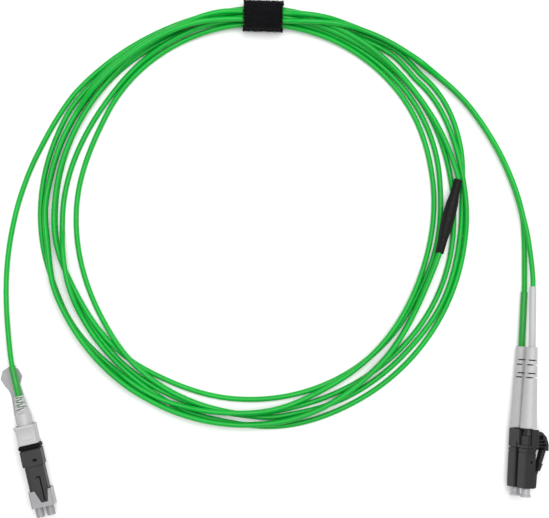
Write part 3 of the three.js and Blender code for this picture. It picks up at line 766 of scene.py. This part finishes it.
def slider_ring(name, sections):
    """A ring on the sliding hollow, from (left, right, top, corner radius, y, inset below) sections."""
    rings = [
        rounded_ring(SFF, left, right, SFF_BASE + inset, top, radius, y)
        for left, right, top, radius, y, inset in sections
    ]
    front, rear = sections[-1][4], sections[0][4]
    bore_x, bore_z = SLIDE_BORE["x"], SLIDE_BORE["z"]
    rings += [rounded_ring(SFF, -bore_x, bore_x, -bore_z, bore_z, 0.1, y) for y in (front, rear)]
    return loft(name, rings, True, 35)


def sff_collar():
    sections = [
        (-3.26, 3.76, 3.58, 0.75, 10.2, 0.12), (-3.37, 3.86, 3.66, 0.8, 10.26, 0.03),
        (-3.4, 3.9, 3.7, 0.8, 10.4, 0), (-3.4, 3.86, 3.7, 0.8, 11.1, 0),
        (-3.36, 3.66, 3.6, 0.8, 11.4, 0.04), (-3.3, 3.52, 3.5, 0.8, 11.6, 0.08),
        (-3.3, 3.46, 3.48, 0.8, 15.7, 0.08), (-3.4, 3.55, 3.56, 0.8, 15.9, 0.02),
        (-3.42, 3.58, 3.58, 0.8, 16.1, 0), (-3.42, 3.58, 3.58, 0.8, 16.6, 0),
        (-3.35, 3.5, 3.5, 0.75, 16.8, 0.1),
    ]
    stand_for(slider_ring("sff_collar_shape", sections), "sff_collar")
    rings = []
    for half, z in ((2.15, 3.4), (2.15, 3.5), (2.08, 3.55), (1.96, 3.55), (1.9, 3.49), (1.9, 3.4)):
        low, high = PANEL["middle"] - half + PANEL["shorter"], PANEL["middle"] + half - PANEL["shorter"]
        path = rounded_rectangle(-half, half, low, high, PANEL["corner"])
        rings.append([SFF @ Vector((x, y, z)) for x, y, _, _ in path])
    panel = loft("sff_collar_panel", rings, True, 60)
    set_piece(panel, BODY_OF["sff_collar"], WHITE, "white_plastic")


def sff_rim():
    """A round-edged rubber band, from its rear edge to its front one."""
    sections = []
    for k in range(RIM_STEPS + 1):
        t = math.pi * (0.08 + 0.84 * k / RIM_STEPS)
        inset = RIM["inset"] * (1 - math.sin(t))
        half = RIM["half_wide"] - inset
        y = RIM["middle"] - RIM["half_thick"] * math.cos(t)
        sections.append((-half, half, RIM["top"] - inset, 0.9, y, inset * 0.6))
    stand_for(slider_ring("sff_rim_shape", sections), "sff_rim")


def sff_boot():
    """A tapered boot with zigzag slots on top, and below too where it hugs the cable."""
    profile = [
        (1.3, 0), (1.48, 0), (1.62, 0.1), (1.74, 0.3), (2.58, 6.35), (2.68, 6.45), (2.72, 6.6), (2.72, 10.9),
        (2.1, 10.9), (2.1, 6.7), (1.89, 6.7), (1.89, 4.7), (1.3, 4.7),
    ]
    boot = turned("sff_boot_shape", SFF, profile, sharp=BOOT_SHARP)
    boxes = []
    for i in range(ZIGZAG["slots"]):
        y = ZIGZAG["first"] + ZIGZAG["pitch"] * i
        side = 1 if i % 2 else -1
        tilt = Matrix.Rotation(math.radians(ZIGZAG["tilt"] * side), 4, "Z")
        place = SFF @ Matrix.Translation((0, y, 0)) @ tilt
        left, right = sorted((-ZIGZAG["past_middle"] * side, SLOT_REACH * side))
        floor = ZIGZAG_FLOOR["cable" if y < BOOT_SHOULDER else "wall"]
        half = ZIGZAG["wide"] / 2
        boxes.append(box_points(place, (left, -half, floor), (right, half, SLOT_REACH)))
        if y < BOOT_SHOULDER:
            half = ZIGZAG["wide_below"] / 2
            boxes.append(box_points(place, (left, -half, -SLOT_REACH), (right, half, -floor)))
    carve(boot, boxes, BOOT_SHARP)
    stand_for(boot, "sff_boot")


def build_sff_plug():
    sff_boot()
    sff_collar()
    sff_rim()
    # Near-black plates of painted shade in the two small eyes and in the keyway.
    eye_top = SFF @ Matrix.Translation((0, 0, EYE_TOP))
    for number, x in EYES.items():
        painted_shade_plate(f"sff_eye_{number}_floor", eye_top, circle(x, 22.4, 0.41), 0.25, "sff_outer_housing")
    key_top = SFF @ Matrix.Translation((0, 0, KEY_TOP))
    painted_shade_plate("sff_keyway_floor", key_top, KEYWAY, 0.2, "sff_inner_housing")
    stand_for(refined("sff_outer_housing", 0.14), "sff_outer_housing")
    stand_for(refined("sff_inner_housing", 0.1), "sff_inner_housing")
    stand_for(refined("sff_pull_tab", 0.2), "sff_pull_tab")
    cap = refined("sff_dust_cap", 0.16)
    set_piece(cap, BODY_OF["sff_dust_cap"], SFF_CAP, "cap_plastic", "sff_dust_cap")


# ---- what lies on the cord ----
def breakout_shape():
    """A heat-shrink tube over the split: narrow at the cable, fuller over the joint, flat over the legs."""
    start, end = Vector((*BREAKOUT["from"], 0)), Vector((*BREAKOUT["to"], 0))
    run = (end - start).normalized()
    side = Vector((-run.y, run.x, 0))
    # Distance along the tube, half its width and half its height.
    stations = [
        (0.0, 1.30, 1.45), (0.12, 1.44, 1.62), (0.5, 1.52, 1.72), (2.5, 1.50, 1.70), (5.0, 1.58, 1.8),
        (7.0, 1.86, 2.15), (8.6, 2.08, 2.4), (11.0, 2.16, 2.46), (14.0, 2.2, 2.46), (16.5, 2.14, 2.44),
        (18.2, 2.0, 2.34), (20.0, 1.74, 2.12), (22.0, 1.58, 1.98), (25.4, 1.5, 1.94), (26.0, 1.44, 1.88),
        (26.24, 1.3, 1.8),
    ]
    sides = 48
    rings = []
    for distance, wide, tall in stations:
        ring = []
        for k in range(sides):
            t = 2 * math.pi * k / sides
            pucker = 1 + 0.012 * math.sin(3 * t + distance * 0.9) + 0.008 * math.sin(7 * t - distance * 1.7)
            offset = side * (wide * pucker * math.cos(t)) + Vector((0, 0, tall * pucker * math.sin(t)))
            ring.append((start + run * distance + offset + Vector((0, 0, BREAKOUT["height"]))) * MM)
        rings.append(ring)
    piece = loft("breakout_shape", rings, False, 60)
    return stand_for(piece, "breakout_tube")


STRAP_STEPS = (150, 56)  # round the strap and across its width
STRAP_CORNER = 2.2  # outer radius of its corners
STRAP_DEPTH = 0.9  # of the line that the band is built round, under the outer face
STRAP_DRAWN = {"across": 0.3, "wide": 1.0}  # how much smaller the band is than its CAD stand-in
STRAP_SHIFT = {"angle": -0.15, "radius": -0.15}  # of its middle, in degrees and millimetres
STRAP_OUTER = 0.48  # from that line to the outer face
STRAP_OUTER_MOST = 0.88  # the same where the face bulges
STRAP_INNER = -0.42  # from that line to the inner face
STRAP_FIBRES = 5200
EDGE_FIBRES = 0.35  # the share of them at the two edges
FIBRE_THICK = 0.06
OVERLAP = 0.35  # how far the wrapped end stands above the layer under it


def strap_outline(across, high, count):
    """Points and outward directions round the strap, in radial distance and height."""
    half, low, top = across / 2 - STRAP_DEPTH, STRAP_DEPTH, high - STRAP_DEPTH
    path = rounded_rectangle(-half, half, low, top, STRAP_CORNER - STRAP_DEPTH, 12)
    path = np.array(path + path[:1])
    along = np.concatenate([[0], np.cumsum(np.hypot(*np.diff(path[:, :2], axis=0).T))])
    at = np.linspace(0, along[-1], count, endpoint=False)
    return np.column_stack([np.interp(at, along, path[:, k]) for k in range(4)])


def averaged_loop(values, reach):
    padded = np.concatenate([values[-reach:], values, values[:reach]])
    return np.array([padded[i:i + 2 * reach + 1].mean() for i in range(len(values))])


def strap_shape():
    """A worn hook-and-loop wrap: ragged edges, a matted surface, an overlapped end and loose fibres."""
    rng = np.random.default_rng(7)
    around, wide_steps = STRAP_STEPS
    turn = math.radians(STRAP_ANGLE)
    out = Vector((math.cos(turn), math.sin(turn), 0))
    sideways = Vector((-math.sin(turn), math.cos(turn), 0))
    radius = STRAP_RADIUS - STRAP_PRESS + STRAP_SHIFT["radius"]
    middle = Vector((*coil_point(STRAP_ANGLE + STRAP_SHIFT["angle"], radius), 0))
    path = strap_outline(STRAP["across"] - STRAP_DRAWN["across"], STRAP["high"], around)
    half = (STRAP["wide"] - STRAP_DRAWN["wide"]) / 2
    ragged = {side: averaged_loop(rng.normal(0, 0.34, around), 1) for side in (-1, 1)}
    bulk = rng.normal(0, 0.09, (around, wide_steps + 1))

    def place(k, v, lift):
        u, z, nu, nz = path[k]
        edge = v + (ragged[1][k] if v > 0 else ragged[-1][k]) * max(0.0, abs(v) / half - 0.9) * 10
        height = max(z + nz * lift, 0.03)
        return (middle + out * (u + nu * lift) + sideways * edge) * MM + Vector((0, 0, height * MM))

    def outer_lift(k, j):
        u, z, _, nz = path[k]
        doubled = OVERLAP if nz > 0.5 and u > 0.1 else 0.0
        roll = 0.25 * (abs(2 * j / wide_steps - 1) ** 6)
        return min(STRAP_OUTER + doubled - roll + bulk[k, j], STRAP_OUTER_MOST)

    rings = []
    values = [half * (2 * j / wide_steps - 1) for j in range(wide_steps + 1)]
    for k in range(around):
        ring = [place(k, v, outer_lift(k, j)) for j, v in enumerate(values)]
        ring += [place(k, v, STRAP_INNER) for v in reversed(values)]
        rings.append(ring)
    band = loft("strap_band", rings, True, 70)

    points, faces = [], []
    for _ in range(STRAP_FIBRES):
        k = int(rng.integers(around))
        at_edge = rng.random() < EDGE_FIBRES
        if at_edge:
            v = float(rng.choice([-1, 1]) * half * rng.uniform(0.94, 1.0))
        else:
            v = float(rng.uniform(-half, half))
        u, z, nu, nz = path[k]
        root = middle + out * (u + nu * 0.45) + sideways * v + Vector((0, 0, z + nz * 0.45))
        lean = rng.normal(0, 0.45, 3)
        push = Vector((0, 0, nz)) + out * nu + sideways * (math.copysign(0.9, v) if at_edge else 0.0)
        aim = (push + out * lean[0] + sideways * lean[1] + Vector((0, 0, lean[2]))).normalized()
        length = float(rng.uniform(0.3, 0.75))
        across = aim.cross(Vector((rng.normal(), rng.normal(), rng.normal()))).normalized()
        thick = across * FIBRE_THICK
        tip = root + aim * length
        if tip.z < 0.05 or tip.z > STRAP["high"] + 0.3:
            continue
        base = len(points)
        corners = (root - thick, root + thick, tip + thick * 0.4, tip - thick * 0.4)
        points += [corner * MM for corner in corners]
        faces.append((base, base + 1, base + 2, base + 3))
    fibres = mesh_piece("strap_fibres", points, faces)
    set_piece(fibres, ROOT, FABRIC, "black_fabric")
    return stand_for(band, "hook_and_loop_strap"), fibres


# ---- cords ----
def build_cords():
    routes = [smooth_route(main_points()), smooth_route(leg_points("a")), smooth_route(leg_points("b"))]
    main, leg_a, leg_b = settle(routes)
    cable = cable_curve("main_cable", main, CABLE)
    set_piece(cable, ROOT, GREEN, "green_jacket", "coil", "left_lead")
    legs = {}
    for side, route in (("a", leg_a), ("b", leg_b)):
        leg = cable_curve("leg_" + side + "_cable", route, CABLE)
        set_piece(leg, ROOT, GREEN, "green_jacket", "leg_" + side + "_lead")
        legs[side] = (leg, route)
    sff_piece = stand_for(sleeve("sff_sleeve_shape", SFF, -10.5, 3.6), "sff_sleeve")
    breakout_shape()
    strap_shape()
    for side, (leg, route) in legs.items():
        lc_sleeve(side)


# ---- camera, light and floor ----
VIEW_HEIGHT = 560.0  # millimetres above the table
VIEW_MIDDLE = 59.6  # where on the row frame's Y the camera looks straight down
VIEW_WIDTH = 189.4  # of the table that the picture shows
SENSOR = 36.0
FLOOR_HALF = 3.0  # metres
FLOOR_DROP = 0.00005  # under what rests on it
SOFTBOX = {"size": 1.6, "energy": 26, "at": (0.15, 0.35, 1.5), "aim": (0, 0.06, 0)}
SKY_STRENGTH = 0.55


def build_stage():
    camera = bpy.data.cameras.new("camera")
    camera.sensor_width = SENSOR
    camera.lens = SENSOR * VIEW_HEIGHT / VIEW_WIDTH
    camera.clip_start = 0.01
    eye = into_scene(bpy.data.objects.new("camera", camera))
    eye.location = mm(0, VIEW_MIDDLE, VIEW_HEIGHT)
    bpy.context.scene.camera = eye

    mesh = bpy.data.meshes.new("floor")
    corners = [(x * FLOOR_HALF, y * FLOOR_HALF, 0) for x, y in ((-1, -1), (1, -1), (1, 1), (-1, 1))]
    mesh.from_pydata(corners, [], [(0, 1, 2, 3)])
    floor = into_scene(bpy.data.objects.new("floor", mesh))
    floor.location.z = -FLOOR_DROP
    material, nodes, links, shader = node_material("floor_look")
    grain = noise(nodes, links, 40, 3)
    stops = [(0.3, (0.9, 0.9, 0.9)), (0.7, (0.92, 0.92, 0.92))]
    links.new(ramp(nodes, links, grain, stops), shader.inputs["Base Color"])
    shader.inputs["Roughness"].default_value = 0.9
    mesh.materials.append(material)

    world = bpy.data.worlds.new("studio")
    bpy.context.scene.world = world
    world.use_nodes = True
    background = world.node_tree.nodes["Background"]
    background.inputs["Color"].default_value = (1, 1, 1, 1)
    background.inputs["Strength"].default_value = SKY_STRENGTH

    light = bpy.data.lights.new("softbox", "AREA")
    light.shape = "DISK"
    light.size = SOFTBOX["size"]
    light.energy = SOFTBOX["energy"]
    lamp = into_scene(bpy.data.objects.new("softbox", light))
    lamp.location = SOFTBOX["at"]
    towards = Vector(SOFTBOX["aim"]) - lamp.location
    lamp.rotation_euler = towards.to_track_quat("-Z", "Y").to_euler()
    bpy.context.scene.view_settings.view_transform = "Standard"


look_of_nodes()
build_cords()
build_lc_plug()
build_sff_plug()
build_stage()
